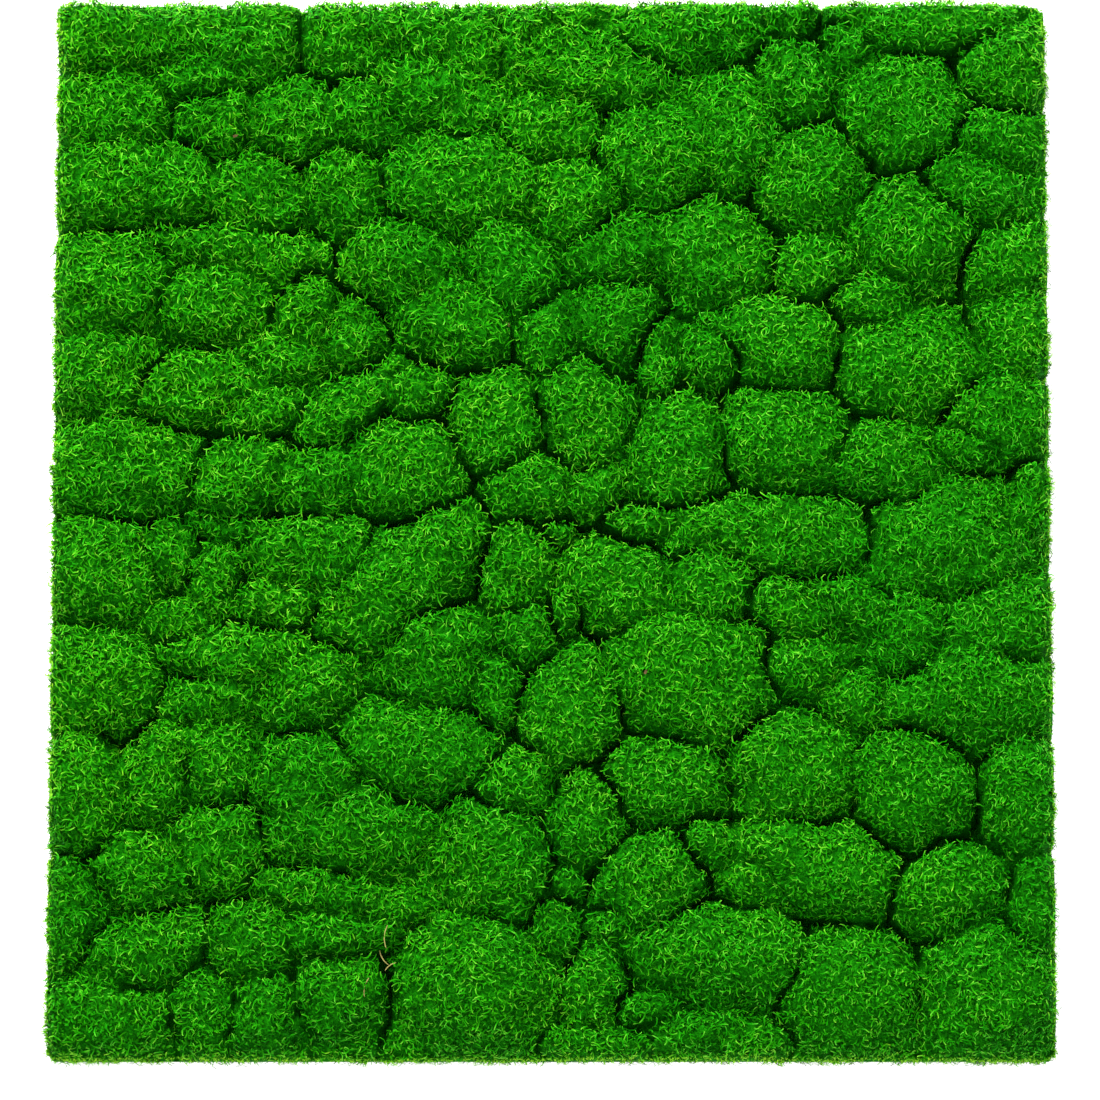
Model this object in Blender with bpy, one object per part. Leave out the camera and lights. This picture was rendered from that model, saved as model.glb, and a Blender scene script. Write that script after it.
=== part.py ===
"""A rectangular mat of cushion moss: 59 moss cushions grown side by side on a flat mat of rhizoids.

Metres, +Z up. The mat lies flat on its underside, with its origin at the middle of that underside.
Each cushion is a closed solid that reaches the tips of its leaves: a domed top, a steep side that
stops just short of its neighbours, and a flat foot on the rhizoid mat.
"""

from math import pi

import bmesh
import bpy
import numpy as np
from mathutils import Vector

MM = 0.001

# The mat.
MAT_LENGTH_X = 500 * MM
MAT_LENGTH_Y = 534 * MM
MAT_CORNER = 11 * MM

# The brown layer of old stems and rhizoids that the cushions grow from.
BASE_INSET = 3.5 * MM
BASE_THICKNESS = 7 * MM
BASE_ROUND = 9 * MM
BASE_ROUND_STEPS = 4
BASE_EDGE_SOFTENING = 1.2 * MM

# The cushions.
REST_GAP = 0.3 * MM
SMALL_CROWN_HEIGHT = 35 * MM
CROWN_RISE_PER_WIDTH = 0.30
DOME_DROP_PER_WIDTH = 0.46
SHOULDER_DROP = 6 * MM
BLEND_SHARPNESS = 7.0

# The solids are lofted from this many sides, in rings from the crown down to the foot.
SIDES = 20
RING_REACH = (0.0, 0.52, 0.86, 1.0, 1.0, 0.0)
GRID = 1 * MM
STEP = 0.5 * MM
LONGEST_REACH = 120 * MM
CHORD_SAMPLES = 17
SHRINK = 0.96
MOST_SHRINKS = 80

MOSS_GREEN = (0.035, 0.165, 0.010, 1.0)
RHIZOID_BROWN = (0.105, 0.068, 0.035, 1.0)

# Each cushion is a group of rounded mounds that grew together, given from the mat's far left corner
# to its near right one. A mound is (x, y, half length, half width, turn), in millimetres from the
# middle of the mat and degrees.
CUSHIONS = [
    # far edge
    [(-228, 249, 26, 17, 0), (-190, 250, 22, 16, 8), (-147, 246, 19, 20, 0),
     (-226, 212, 28, 18, 0), (-178, 228, 22, 10, 12)],
    [(-105, 247, 22, 19, 0), (-67, 250, 17, 16, 0), (-38, 247, 13, 20, 0), (-57, 219, 33, 15, -14)],
    [(-16, 243, 9, 20, 0), (14, 260, 24, 8, 0), (20, 232, 33, 19, -12), (70, 251, 38, 16, 0)],
    [(121, 257, 13, 10, 0), (148, 241, 13, 13, 0), (122, 226, 22, 23, 0), (178, 209, 32, 29, 0)],
    [(188, 254, 40, 13, 0), (228, 232, 24, 20, 30)],
    # second band
    [(-168, 206, 18, 15, 0), (-130, 207, 22, 19, -18), (-97, 208, 15, 18, 0)],
    [(1, 201, 25, 16, -5)],
    [(94, 200, 22, 30, 0), (50, 186, 28, 25, 0)],
    [(226, 198, 24, 15, 0), (212, 170, 26, 17, -20), (231, 135, 24, 18, 0), (234, 97, 18, 21, 0)],
    # third band
    [(-226, 172, 28, 20, 0), (-186, 170, 17, 18, 0), (-148, 169, 23, 18, 0), (-106, 171, 18, 20, 0)],
    [(-43, 174, 37, 22, 0), (12, 166, 22, 24, 0)],
    [(131, 177, 29, 27, 0), (130, 130, 19, 16, 20)],
    [(181, 151, 32, 26, -10)],
    # fourth band
    [(-226, 122, 30, 26, 0), (-226, 77, 28, 20, 0), (-172, 112, 21, 18, 0), (-160, 140, 36, 12, -5)],
    [(-122, 107, 12, 15, 0), (-100, 97, 13, 15, 0), (-133, 86, 16, 9, 0)],
    [(-74, 132, 24, 19, -20), (-48, 104, 28, 19, -20)],
    [(-20, 128, 30, 17, -61)],
    [(32, 141, 23, 16, 15), (82, 140, 32, 24, -25)],
    [(-3, 98, 15, 20, 0), (32, 101, 20, 21, 0), (15, 56, 23, 27, 0)],
    [(54, 86, 10, 17, 0), (82, 84, 16, 13, -20), (65, 34, 23, 28, 0)],
    [(115, 93, 30, 24, -8)],
    [(160, 114, 18, 12, 0), (178, 80, 37, 25, -15)],
    # fifth band
    [(-180, 68, 30, 16, 3), (-146, 55, 18, 12, 20), (-102, 58, 30, 12, 35), (-67, 65, 18, 13, 5)],
    [(-28, 50, 25, 25, 0), (-13, 18, 24, 18, 18), (20, 16, 13, 12, 0)],
    [(117, 43, 32, 25, 0), (168, 32, 26, 20, -5)],
    [(206, 38, 15, 9, -10), (224, 55, 27, 21, 0)],
    [(-212, 28, 44, 23, 0)],
    [(-157, 25, 28, 19, 10), (-118, 22, 22, 18, 0), (-72, 27, 28, 26, 0)],
    # sixth band
    [(-225, -22, 28, 24, 0), (-190, -14, 15, 15, 0), (-228, -78, 28, 26, 0), (-186, -49, 17, 10, 0)],
    [(-165, -1, 17, 7, -15), (-168, -30, 13, 19, 0), (-138, -40, 20, 12, 0), (-118, -14, 33, 20, 0)],
    [(-75, -25, 52, 24, 40)],
    [(-18, -20, 17, 25, 0), (-12, -55, 17, 15, 0), (-57, -67, 25, 24, 0), (-27, -84, 11, 19, 0)],
    [(33, -30, 28, 22, -15), (3, -3, 9, 8, 0), (79, -30, 21, 18, 0)],
    [(105, -4, 58, 17, -3), (48, 0, 18, 9, 0)],
    [(197, -8, 38, 28, 0), (241, 12, 12, 16, 0)],
    # seventh band
    [(-155, -65, 38, 14, 0), (-120, -80, 24, 17, 40)],
    [(10, -92, 23, 31, 0), (6, -43, 6, 14, 0)],
    [(70, -78, 42, 32, -20)],
    [(118, -43, 22, 13, -25), (150, -40, 20, 12, -20), (177, -55, 17, 20, -20),
     (124, -72, 20, 16, 0), (150, -88, 16, 14, 0)],
    [(225, -48, 28, 20, 15), (210, -88, 42, 26, 0)],
    # eighth band
    [(-170, -88, 22, 12, 0), (-165, -120, 17, 20, 0), (-196, -127, 24, 18, 70), (-234, -135, 19, 30, 0)],
    [(-122, -127, 26, 21, 15), (-105, -152, 38, 20, 0)],
    [(-205, -173, 24, 18, -15), (-165, -160, 22, 22, 0), (-238, -190, 14, 24, 0)],
    [(-65, -112, 40, 22, -5), (-18, -130, 19, 19, 0)],
    [(-28, -167, 26, 33, 0)],
    [(18, -147, 20, 25, 0), (8, -179, 9, 9, 0)],
    [(55, -128, 32, 23, -5)],
    [(120, -122, 32, 29, 0)],
    [(180, -130, 30, 28, 0)],
    [(232, -132, 20, 32, 0), (195, -182, 28, 20, 10), (240, -190, 12, 25, 0)],
    # near edge
    [(-200, -212, 28, 18, 20), (-222, -246, 34, 19, 0), (-172, -243, 16, 20, 0)],
    [(-152, -207, 20, 17, 0), (-141, -245, 17, 20, 0), (-106, -234, 21, 20, 0),
     (-108, -183, 40, 9, -12), (-105, -203, 28, 10, 0)],
    [(48, -180, 26, 27, 0)],
    [(80, -160, 16, 12, -35), (96, -178, 18, 11, -30), (132, -170, 42, 22, -15)],
    [(-35, -228, 38, 32, 0), (2, -204, 14, 16, 0)],
    [(20, -229, 14, 22, 0), (28, -199, 13, 8, 0), (25, -258, 25, 8, 0)],
    [(82, -214, 42, 24, -10), (48, -241, 14, 9, 0), (80, -254, 34, 12, 0)],
    [(147, -233, 34, 28, 0)],
    [(216, -232, 34, 31, 0)],
]

MOUNDS = np.array([mound for cushion in CUSHIONS for mound in cushion], float)
MOUND_CUSHION = np.array([number for number, cushion in enumerate(CUSHIONS) for _ in cushion])
MOUND_CENTRE = MOUNDS[:, :2] * MM
MOUND_HALF = MOUNDS[:, 2:4] * MM
MOUND_TURN = np.radians(MOUNDS[:, 4])


def start_scene():
    for old in list(bpy.data.objects):
        bpy.data.objects.remove(old, do_unlink=True)
    collection = bpy.data.collections.new("moss_mat")
    bpy.context.scene.collection.children.link(collection)
    return collection


def finish_material(name, colour, roughness):
    material = bpy.data.materials.new(name)
    material.use_nodes = True
    shader = material.node_tree.nodes["Principled BSDF"]
    shader.inputs["Base Color"].default_value = colour
    shader.inputs["Roughness"].default_value = roughness
    shader.inputs["Metallic"].default_value = 0.0
    return material


def add_piece(collection, name, shape, material):
    mesh = bpy.data.meshes.new(name)
    shape.to_mesh(mesh)
    shape.free()
    mesh.materials.append(material)
    mesh.shade_smooth()
    mesh.set_sharp_from_angle(angle=pi / 4)
    piece = bpy.data.objects.new(name, mesh)
    collection.objects.link(piece)
    return piece


def mound_distances(points):
    """Each point's distance to each mound, where 1 is the rim of that mound's oval."""
    offset = points[:, None, :] - MOUND_CENTRE
    along = offset[..., 0] * np.cos(MOUND_TURN) + offset[..., 1] * np.sin(MOUND_TURN)
    across = offset[..., 1] * np.cos(MOUND_TURN) - offset[..., 0] * np.sin(MOUND_TURN)
    return np.hypot(along / MOUND_HALF[:, 0], across / MOUND_HALF[:, 1])


def top_height(points):
    """Height of the moss surface: a dome on every mound, meeting the next one in a crease."""
    distance = mound_distances(points)
    nearest = distance.min(axis=1)
    weight = np.exp(-BLEND_SHARPNESS * (distance - nearest[:, None]))
    width = (weight * MOUND_HALF.min(axis=1)).sum(axis=1) / weight.sum(axis=1)
    crown = SMALL_CROWN_HEIGHT + CROWN_RISE_PER_WIDTH * width
    return crown - DOME_DROP_PER_WIDTH * width * np.minimum(nearest, 1.3) ** 2


def ground_plan():
    """A plan of the mat in GRID steps: the number of the cushion that holds each place, or -1 in a gap."""
    across = np.arange(-MAT_LENGTH_X / 2, MAT_LENGTH_X / 2 + GRID, GRID)
    along = np.arange(-MAT_LENGTH_Y / 2, MAT_LENGTH_Y / 2 + GRID, GRID)
    places = np.array([(x, y) for y in along for x in across])
    owner = MOUND_CUSHION[mound_distances(places).argmin(axis=1)]
    over_x = np.maximum(np.abs(places[:, 0]) - (MAT_LENGTH_X / 2 - MAT_CORNER), 0)
    over_y = np.maximum(np.abs(places[:, 1]) - (MAT_LENGTH_Y / 2 - MAT_CORNER), 0)
    owner[np.hypot(over_x, over_y) > MAT_CORNER] = -1
    owner = owner.reshape(len(along), len(across))
    plan = owner.copy()
    for rows, columns in ((1, 0), (-1, 0), (0, 1), (0, -1), (1, 1), (-1, -1), (1, -1), (-1, 1)):
        beside = np.roll(owner, (rows, columns), axis=(0, 1))
        plan[(beside != owner) & (beside >= 0)] = -1
    return plan


def holder(plan, points):
    """The number of the cushion that holds each point, or -1 in a gap and off the mat."""
    column = np.rint((points[:, 0] + MAT_LENGTH_X / 2) / GRID).astype(int)
    row = np.rint((points[:, 1] + MAT_LENGTH_Y / 2) / GRID).astype(int)
    inside = (column >= 0) & (row >= 0) & (column < plan.shape[1]) & (row < plan.shape[0])
    found = plan[row.clip(0, plan.shape[0] - 1), column.clip(0, plan.shape[1] - 1)]
    return np.where(inside, found, -1)


def outline_from(plan, number, middle):
    """An outline round this middle: on each side's ray, as far out as the cushion's ground reaches."""
    corner = np.sign(middle) * (np.array((MAT_LENGTH_X, MAT_LENGTH_Y)) / 2 - MAT_CORNER * 0.3) - middle
    turns = np.arctan2(corner[1], corner[0]) + np.arange(SIDES) * 2 * pi / SIDES
    rays = np.column_stack((np.cos(turns), np.sin(turns)))
    steps = np.arange(0, LONGEST_REACH, STEP)
    reach = np.zeros(SIDES)
    for side, ray in enumerate(rays):
        inside = holder(plan, middle + steps[:, None] * ray) == number
        reach[side] = steps[max(np.argmin(inside) - 1, 0)]
    share = np.linspace(0, 1, CHORD_SAMPLES)[:, None]
    for side in list(range(SIDES)) * 2:
        after = (side + 1) % SIDES
        for _ in range(MOST_SHRINKS):
            start, end = middle + rays[side] * reach[side], middle + rays[after] * reach[after]
            if (holder(plan, start + share * (end - start)) == number).all():
                break
            reach[side if reach[side] > reach[after] else after] *= SHRINK
    return rays * reach[:, None]


def best_outline(plan, number):
    """The middle and outline that cover the most of the cushion's ground."""
    mounds = MOUND_CENTRE[MOUND_CUSHION == number]
    middles = [(first + second) / 2 for first in mounds for second in mounds]
    middles.append(mounds.mean(axis=0))
    best = None
    for middle in middles:
        if holder(plan, middle[None, :])[0] != number:
            continue
        outline = outline_from(plan, number, middle)
        after = np.roll(outline, -1, axis=0)
        area = (outline[:, 0] * after[:, 1] - outline[:, 1] * after[:, 0]).sum()
        if best is None or area > best[0]:
            best = (area, middle, outline)
    return best[1], best[2]


def cushion_shape(plan, number):
    """A ball of rings and sides, drawn out to the cushion's outline and domed like its mounds."""
    middle, outline = best_outline(plan, number)
    foot = BASE_THICKNESS + REST_GAP
    rings = len(RING_REACH) - 1
    shape = bmesh.new()
    bmesh.ops.create_uvsphere(shape, u_segments=SIDES, v_segments=rings, radius=1.0)
    for vert in shape.verts:
        ring = round(vert.co.angle(Vector((0, 0, 1))) * rings / pi)
        side = round(np.arctan2(vert.co.y, vert.co.x) * SIDES / (2 * pi)) % SIDES
        place = middle + outline[side] * RING_REACH[ring]
        top = top_height(place[None, :])[0]
        if ring >= rings - 1:
            top = foot
        elif ring == rings - 2:
            top -= SHOULDER_DROP
        vert.co = (place[0], place[1], top)
    return shape


def base_shape():
    """A flat slab with rounded corners and softened edges."""
    shape = bmesh.new()
    bmesh.ops.create_cube(shape, size=1.0)
    size = (MAT_LENGTH_X - 2 * BASE_INSET, MAT_LENGTH_Y - 2 * BASE_INSET, BASE_THICKNESS)
    bmesh.ops.scale(shape, vec=size, verts=shape.verts)
    bmesh.ops.translate(shape, vec=(0, 0, BASE_THICKNESS / 2), verts=shape.verts)
    upright = [edge for edge in shape.edges if abs(edge.verts[0].co.z - edge.verts[1].co.z) > MM]
    bmesh.ops.bevel(shape, geom=upright, offset=BASE_ROUND, segments=BASE_ROUND_STEPS, profile=0.5,
                    affect="EDGES")
    rims = [edge for edge in shape.edges if abs(edge.verts[0].co.z - edge.verts[1].co.z) < 0.1 * MM]
    bmesh.ops.bevel(shape, geom=rims, offset=BASE_EDGE_SOFTENING, segments=1, profile=0.5,
                    affect="EDGES")
    return shape


mat = start_scene()
rhizoid_brown = finish_material("rhizoid_brown", RHIZOID_BROWN, 0.95)
add_piece(mat, "rhizoid_mat", base_shape(), rhizoid_brown)
ground = ground_plan()
for cushion_number in range(len(CUSHIONS)):
    cushion_name = f"cushion_{cushion_number + 1:02d}"
    moss_green = finish_material(f"{cushion_name}_green", MOSS_GREEN, 0.8)
    add_piece(mat, cushion_name, cushion_shape(ground, cushion_number), moss_green)
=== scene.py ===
from math import cos, pi, radians, sin

import bmesh
import bpy
import numpy as np
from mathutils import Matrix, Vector


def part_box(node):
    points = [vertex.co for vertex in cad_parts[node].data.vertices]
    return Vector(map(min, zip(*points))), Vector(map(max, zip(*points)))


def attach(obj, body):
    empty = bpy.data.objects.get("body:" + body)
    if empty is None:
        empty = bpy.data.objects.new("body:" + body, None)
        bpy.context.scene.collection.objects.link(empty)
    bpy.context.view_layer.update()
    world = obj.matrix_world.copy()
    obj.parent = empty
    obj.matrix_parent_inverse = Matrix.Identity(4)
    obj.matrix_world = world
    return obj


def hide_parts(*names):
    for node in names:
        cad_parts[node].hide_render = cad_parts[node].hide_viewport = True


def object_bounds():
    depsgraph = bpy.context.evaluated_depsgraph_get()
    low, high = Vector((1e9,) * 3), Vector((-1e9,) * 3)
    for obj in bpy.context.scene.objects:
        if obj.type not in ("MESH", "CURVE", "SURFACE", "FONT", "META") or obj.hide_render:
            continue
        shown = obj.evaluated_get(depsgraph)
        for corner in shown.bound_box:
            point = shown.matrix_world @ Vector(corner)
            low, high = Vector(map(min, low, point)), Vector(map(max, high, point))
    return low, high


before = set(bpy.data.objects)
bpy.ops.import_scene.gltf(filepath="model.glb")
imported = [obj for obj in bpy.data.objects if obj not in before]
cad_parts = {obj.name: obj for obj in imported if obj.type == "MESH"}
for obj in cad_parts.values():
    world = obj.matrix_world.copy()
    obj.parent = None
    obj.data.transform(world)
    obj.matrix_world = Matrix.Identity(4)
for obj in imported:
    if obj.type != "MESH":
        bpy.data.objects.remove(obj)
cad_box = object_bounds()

# ---------------------------------------------------------------------------------------------
# The rhizoid mat: the flat brown felt of dead stems and rhizoids that every cushion grows from.
# It was cut flat underneath when the moss was lifted, and its edge is ragged, with loose ends of
# fibre standing out of it.
# ---------------------------------------------------------------------------------------------

MM = 0.001
rng = np.random.default_rng(20)

mat_low, mat_high = (np.array(corner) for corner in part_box("rhizoid_mat"))
felt_top = mat_high[2]


def smooth_noise(points, size, seed):
    """Soft hills and hollows between -1 and 1, about size across, at each (x, y) of points."""
    lattice = np.random.default_rng(seed).uniform(-1, 1, (64, 64))
    place = np.asarray(points)[..., :2] / size + 500
    cell = np.floor(place).astype(int)
    part = place - cell
    part = part * part * (3 - 2 * part)
    column, row = cell[..., 0], cell[..., 1]
    corners = [lattice[(row + up) % 64, (column + over) % 64] for up in (0, 1) for over in (0, 1)]
    near = corners[0] * (1 - part[..., 0]) + corners[1] * part[..., 0]
    far = corners[2] * (1 - part[..., 0]) + corners[3] * part[..., 0]
    return near * (1 - part[..., 1]) + far * part[..., 1]


def hills(points, waves):
    """Layers of soft noise added up. Each of waves is (size, height, seed)."""
    return sum(smooth_noise(points, size, seed) * high for size, high, seed in waves)


def new_material(name, roughness, specular, glint=(1.0, 1.0, 1.0)):
    material = bpy.data.materials.new(name)
    material.use_nodes = True
    shader = material.node_tree.nodes["Principled BSDF"]
    shader.inputs["Roughness"].default_value = roughness
    shader.inputs["Specular IOR Level"].default_value = specular
    shader.inputs["Specular Tint"].default_value = (*glint, 1.0)
    return material, material.node_tree, shader


FINE_SHARE = 0.6


def mottling_group():
    """Fine patches over coarse ones, as a mask, and the same as a height for bump."""
    group = bpy.data.node_groups.new("mottling", "ShaderNodeTree")
    for name, value in (("Coarse Scale", 60.0), ("Fine Scale", 900.0)):
        socket = group.interface.new_socket(name=name, in_out="INPUT", socket_type="NodeSocketFloat")
        socket.default_value = value
    group.interface.new_socket(name="Vector", in_out="INPUT", socket_type="NodeSocketVector")
    group.interface.new_socket(name="Mask", in_out="OUTPUT", socket_type="NodeSocketFloat")
    inlet = group.nodes.new("NodeGroupInput")
    outlet = group.nodes.new("NodeGroupOutput")
    coarse = group.nodes.new("ShaderNodeTexNoise")
    fine = group.nodes.new("ShaderNodeTexNoise")
    fine.inputs["Detail"].default_value = 4.0
    blend = group.nodes.new("ShaderNodeMath")
    blend.operation = "MULTIPLY_ADD"
    blend.inputs[1].default_value = FINE_SHARE
    share = group.nodes.new("ShaderNodeMath")
    share.operation = "MULTIPLY"
    share.inputs[1].default_value = 1 - FINE_SHARE
    links = group.links
    links.new(inlet.outputs["Vector"], coarse.inputs["Vector"])
    links.new(inlet.outputs["Vector"], fine.inputs["Vector"])
    links.new(inlet.outputs["Coarse Scale"], coarse.inputs["Scale"])
    links.new(inlet.outputs["Fine Scale"], fine.inputs["Scale"])
    links.new(coarse.outputs["Fac"], share.inputs[0])
    links.new(fine.outputs["Fac"], blend.inputs[0])
    links.new(share.outputs["Value"], blend.inputs[2])
    links.new(blend.outputs["Value"], outlet.inputs["Mask"])
    return group


mottling = mottling_group()


def add_ramp(tree, stops):
    ramp = tree.nodes.new("ShaderNodeValToRGB")
    ramp.color_ramp.elements.remove(ramp.color_ramp.elements[1])
    for number, (place, colour) in enumerate(stops):
        stop = ramp.color_ramp.elements[0] if number == 0 else ramp.color_ramp.elements.new(place)
        stop.position = place
        stop.color = (*colour, 1.0)
    return ramp


BUMP_STRENGTH = 0.95


def mottled_material(name, stops, roughness, scales, bump, specular=0.15, glint=(1.0, 1.0, 1.0)):
    """A rough finish whose colour runs through stops over mottled patches, with bump to match."""
    material, tree, shader = new_material(name, roughness, specular, glint)
    where = tree.nodes.new("ShaderNodeTexCoord")
    patches = tree.nodes.new("ShaderNodeGroup")
    patches.node_tree = mottling
    patches.inputs["Coarse Scale"].default_value = scales[0]
    patches.inputs["Fine Scale"].default_value = scales[1]
    ramp = add_ramp(tree, stops)
    raised = tree.nodes.new("ShaderNodeBump")
    raised.inputs["Distance"].default_value = bump
    raised.inputs["Strength"].default_value = BUMP_STRENGTH
    tree.links.new(where.outputs["Object"], patches.inputs["Vector"])
    tree.links.new(patches.outputs["Mask"], ramp.inputs["Fac"])
    tree.links.new(ramp.outputs["Color"], shader.inputs["Base Color"])
    tree.links.new(patches.outputs["Mask"], raised.inputs["Height"])
    tree.links.new(raised.outputs["Normal"], shader.inputs["Normal"])
    return material


felt_brown = mottled_material(
    "rhizoid_felt", [(0.30, (0.022, 0.013, 0.007)), (0.50, (0.085, 0.052, 0.026)),
                     (0.68, (0.19, 0.135, 0.075))], 0.95, (55.0, 950.0), 0.8 * MM)
fibre_brown = mottled_material(
    "rhizoid_fibre", [(0.30, (0.05, 0.028, 0.010)), (0.55, (0.12, 0.075, 0.028)),
                      (0.70, (0.22, 0.15, 0.07))], 0.8, (90.0, 600.0), 0.1 * MM)


def link_piece(name, mesh, materials, nodes):
    for material in materials:
        mesh.materials.append(material)
    piece = bpy.data.objects.new(name, mesh)
    bpy.context.scene.collection.objects.link(piece)
    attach(piece, "root")
    if nodes:
        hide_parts(*nodes)
    return piece


FELT_CELL = 9 * MM
FELT_ROUND = 9 * MM
FELT_RAG = 1.3 * MM
FELT_RAG_SIZE = 5 * MM
FELT_LUMP = 0.52 * MM
FELT_LUMP_SIZE = 7 * MM
FELT_SINK = 0.6 * MM


def felt_slab():
    """A slab with rounded corners, its edge and top made ragged and its underside left flat."""
    shape = bmesh.new()
    size = mat_high - mat_low
    cells = [int(size[0] / FELT_CELL), int(size[1] / FELT_CELL)]
    bmesh.ops.create_grid(shape, x_segments=cells[0], y_segments=cells[1], size=0.5)
    bmesh.ops.scale(shape, vec=(size[0], size[1], 1), verts=shape.verts)
    half = size[:2] / 2 - FELT_ROUND
    for vert in shape.verts:
        over = Vector((max(abs(vert.co.x) - half[0], 0), max(abs(vert.co.y) - half[1], 0)))
        if over.x > 0 and over.y > 0:
            square = max(over)
            over = over.normalized() * square
            vert.co.x = np.sign(vert.co.x) * (half[0] + over.x)
            vert.co.y = np.sign(vert.co.y) * (half[1] + over.y)
    made = bmesh.ops.extrude_face_region(shape, geom=shape.faces[:] + shape.edges[:] + shape.verts[:])
    raised = {item for item in made["geom"] if isinstance(item, bmesh.types.BMVert)}
    rim = {vert for edge in shape.edges if len(edge.link_faces) == 2
           and abs(edge.link_faces[0].normal.z - edge.link_faces[1].normal.z) > 0.5 for vert in edge.verts}
    for vert in shape.verts:
        if vert in raised:
            lump = smooth_noise((vert.co.x, vert.co.y), FELT_LUMP_SIZE, 3) * FELT_LUMP
            vert.co.z = felt_top - FELT_SINK + lump
        else:
            vert.co.z = mat_low[2]
    for vert in rim:
        outward = Vector((vert.co.x, vert.co.y, 0)).normalized()
        rag = float(smooth_noise((vert.co.x, vert.co.y), FELT_RAG_SIZE, 4)) * FELT_RAG
        vert.co += outward * rag
    bmesh.ops.recalc_face_normals(shape, faces=shape.faces)
    mesh = bpy.data.meshes.new("rhizoid_felt")
    shape.to_mesh(mesh)
    shape.free()
    return mesh


link_piece("rhizoid_felt", felt_slab(), [felt_brown], ["rhizoid_mat"])

# ---------------------------------------------------------------------------------------------
# The body of each cushion: packed stems, dark green because little light reaches them. A cushion is
# one or more clumps, and a clump is a few rounded mounds that grew together. Clumps press on each
# other, which leaves narrow dark seams between them, and soft creases between a clump's mounds.
# ---------------------------------------------------------------------------------------------

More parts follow.
